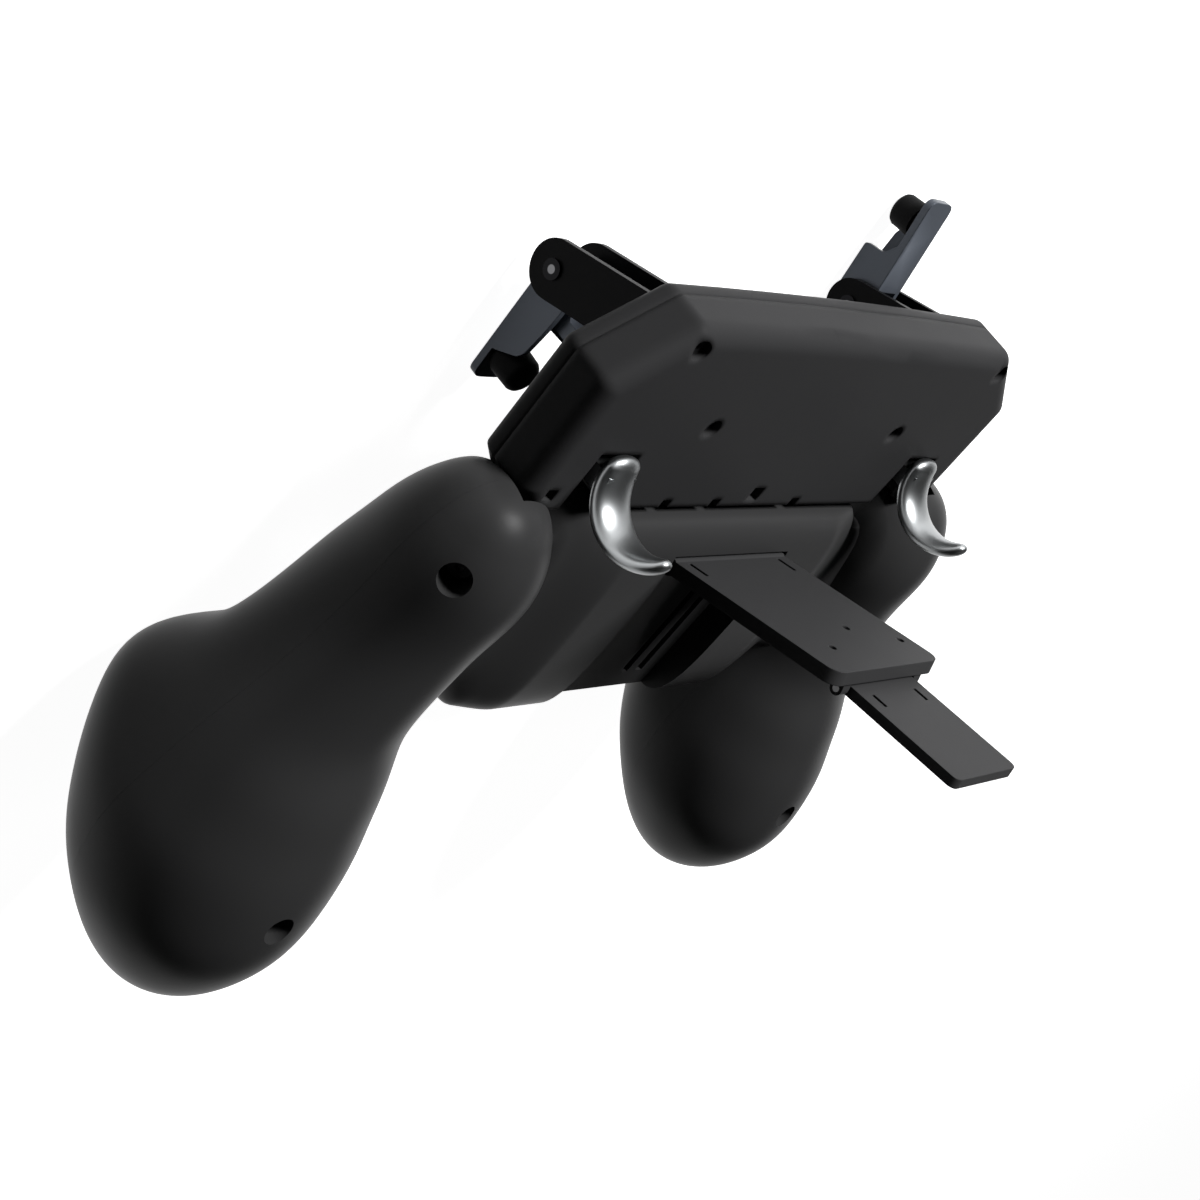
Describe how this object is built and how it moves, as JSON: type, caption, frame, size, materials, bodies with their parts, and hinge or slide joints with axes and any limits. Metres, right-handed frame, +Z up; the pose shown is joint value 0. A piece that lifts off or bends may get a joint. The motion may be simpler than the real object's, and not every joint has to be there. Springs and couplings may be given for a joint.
{
  "type": "mobile game controller",
  "caption": "Clip-on controller for a phone: two horn grips joined by a bridge, a sprung clamp housing, hooked triggers that work flip-down touch arms, and a folding stand.",
  "frame": {"origin": "bottom centre of the bounding box, on the floor that it lies on", "axes": "+X to the player's right, +Y from the clamp housing to the ends of the grips, +Z up, towards the back of the controller, as it lies face down"},
  "size_m": [0.2114, 0.1724, 0.1079],
  "materials": {
    "housing": "fine satin grain",
    "grip_plastic": "satin",
    "inner_plastic": "satin",
    "stand_plastic": "satin",
    "bracket_plastic": "semi-gloss",
    "arm_plastic": "satin lacquer",
    "rubber": "matt",
    "chrome": "polished",
    "screw_steel": "blackened",
    "pin_steel": "bright",
    "spring_steel": "bright"
  },
  "bodies": {
    "frame": {"grip_back_right": "grip_plastic", "grip_back_left": "grip_plastic", "grip_front_right": "grip_plastic", "grip_front_left": "grip_plastic", "grip_screws": "screw_steel", "bridge_back_cover": "grip_plastic", "bridge_front_cover": "grip_plastic", "jaw_pad": "rubber", "stand_leg_pin": "pin_steel", "clamp_spring_right": "spring_steel", "clamp_spring_left": "spring_steel"},
    "clamp": {"clamp_back_shell": "housing", "clamp_front_lid": "housing", "clamp_face_pad": "rubber", "clamp_screws": "screw_steel", "clamp_slider": "inner_plastic", "bracket_right": "bracket_plastic", "bracket_left": "bracket_plastic", "arm_pin_right": "pin_steel", "arm_pin_left": "pin_steel", "trigger_pin_right": "pin_steel", "trigger_pin_left": "pin_steel"},
    "stand_leg": {"stand_leg": "stand_plastic", "stand_leaf_pin": "pin_steel"},
    "stand_leaf": {"stand_leaf": "stand_plastic"},
    "trigger_right": {"trigger_right": "chrome"},
    "push_rod_right": {"push_rod_right": "pin_steel"},
    "rocker_right": {"rocker_right": "inner_plastic"},
    "touch_arm_right": {"touch_arm_right": "arm_plastic", "touch_pad_right": "rubber"},
    "trigger_left": {"trigger_left": "chrome"},
    "push_rod_left": {"push_rod_left": "pin_steel"},
    "rocker_left": {"rocker_left": "inner_plastic"},
    "touch_arm_left": {"touch_arm_left": "arm_plastic", "touch_pad_left": "rubber"}
  },
  "joints": [
    {"name": "clamp_slide", "type": "slide", "parent": "frame", "child": "clamp", "axis": [0, -0.9985, 0.0556], "range_m": [0, 0.034], "stiffness_N_per_m": 60, "springref_m": -0.02, "deforming": ["clamp_spring_right", "clamp_spring_left"]},
    {"name": "stand_leg_hinge", "type": "hinge", "parent": "frame", "child": "stand_leg", "pos_m": [0, -0.02012, 0.04161], "axis": [1, 0, 0], "range_deg": [-108.4, 0]},
    {"name": "stand_leaf_hinge", "type": "hinge", "parent": "stand_leg", "child": "stand_leaf", "pos_m": [0, -0.02771, 0.08058], "axis": [1, 0, 0], "range_deg": [-173.1, 0]},
    {"name": "trigger_right_hinge", "type": "hinge", "parent": "clamp", "child": "trigger_right", "pos_m": [0.0502, -0.03976, 0.03229], "axis": [-1, 0, 0], "range_deg": [0, 14], "stiffness_Nm_per_rad": 0.12, "springref_deg": -4.58},
    {"name": "push_rod_right_slide", "type": "slide", "parent": "clamp", "child": "push_rod_right", "axis": [0, -0.9985, 0.0556], "range_m": [0, 0.0007]},
    {"name": "rocker_right_hinge", "type": "hinge", "parent": "clamp", "child": "rocker_right", "pos_m": [0.047, -0.05907, 0.00752], "axis": [1, 0, 0], "range_deg": [0, 1.6]},
    {"name": "touch_arm_right_hinge", "type": "hinge", "parent": "rocker_right", "child": "touch_arm_right", "pos_m": [0.047, -0.05907, 0.00752], "axis": [1, 0, 0], "range_deg": [-171, 0]},
    {"name": "trigger_left_hinge", "type": "hinge", "parent": "clamp", "child": "trigger_left", "pos_m": [-0.0502, -0.03976, 0.03229], "axis": [-1, 0, 0], "range_deg": [0, 14], "stiffness_Nm_per_rad": 0.12, "springref_deg": -4.58},
    {"name": "push_rod_left_slide", "type": "slide", "parent": "clamp", "child": "push_rod_left", "axis": [0, -0.9985, 0.0556], "range_m": [0, 0.0007]},
    {"name": "rocker_left_hinge", "type": "hinge", "parent": "clamp", "child": "rocker_left", "pos_m": [-0.047, -0.05907, 0.00752], "axis": [1, 0, 0], "range_deg": [0, 1.6]},
    {"name": "touch_arm_left_hinge", "type": "hinge", "parent": "rocker_left", "child": "touch_arm_left", "pos_m": [-0.047, -0.05907, 0.00752], "axis": [1, 0, 0], "range_deg": [0, 171]}
  ],
  "couplings": [
    {"joint": "push_rod_right_slide", "follows": "trigger_right_hinge", "m_per_rad": 0.0026},
    {"joint": "rocker_right_hinge", "follows": "trigger_right_hinge", "ratio": 0.108},
    {"joint": "push_rod_left_slide", "follows": "trigger_left_hinge", "m_per_rad": 0.0026},
    {"joint": "rocker_left_hinge", "follows": "trigger_left_hinge", "ratio": 0.108}
  ]
}
